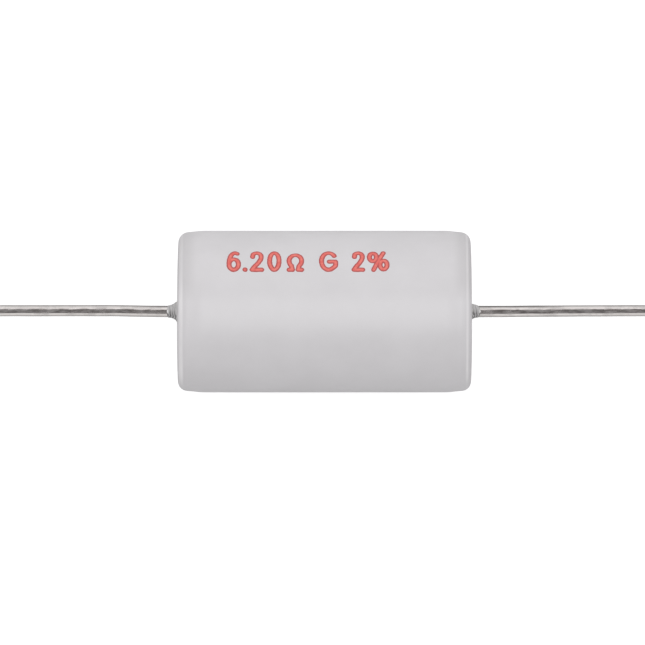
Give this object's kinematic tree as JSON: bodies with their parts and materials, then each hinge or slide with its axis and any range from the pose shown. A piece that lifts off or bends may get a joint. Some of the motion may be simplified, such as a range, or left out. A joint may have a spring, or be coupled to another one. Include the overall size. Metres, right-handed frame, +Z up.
{
  "type": "axial resistor",
  "caption": "Wirewound power resistor: a pale grey moulded round body on a wound ceramic rod, with one straight tinned wire lead at each end.",
  "frame": {"origin": "centre of the moulded body, on the axis of the leads", "axes": "+X along the leads, towards the right one as the marking reads; +Y towards the top of the picture; +Z up from the table, towards the camera, which looks straight down"},
  "size_m": [0.0862, 0.0144, 0.0144],
  "materials": {
    "moulding": "pale grey mineral-filled moulding compound, satin as it leaves the mould",
    "tinned_wire": "hot-tinned copper, drawn along its length and slightly tarnished",
    "bead_resin": "thin grey resin that has crept up the wire",
    "steatite": "unglazed cream steatite",
    "cap_plate": "pressed steel with a dull tin plate",
    "resistance_wire": "drawn nickel-chromium wire with a thin grey oxide",
    "marking_ink": "thin red printing ink, pooled at the edges of its strokes"
  },
  "bodies": {
    "root": {"body": "moulding", "ceramic_core": "steatite", "end_cap_left": "cap_plate", "end_cap_right": "cap_plate", "resistance_winding": "resistance_wire", "lead_left": "tinned_wire", "lead_right": "tinned_wire", "exit_seal_left": "bead_resin", "exit_seal_right": "bead_resin"}
  },
  "joints": []
}
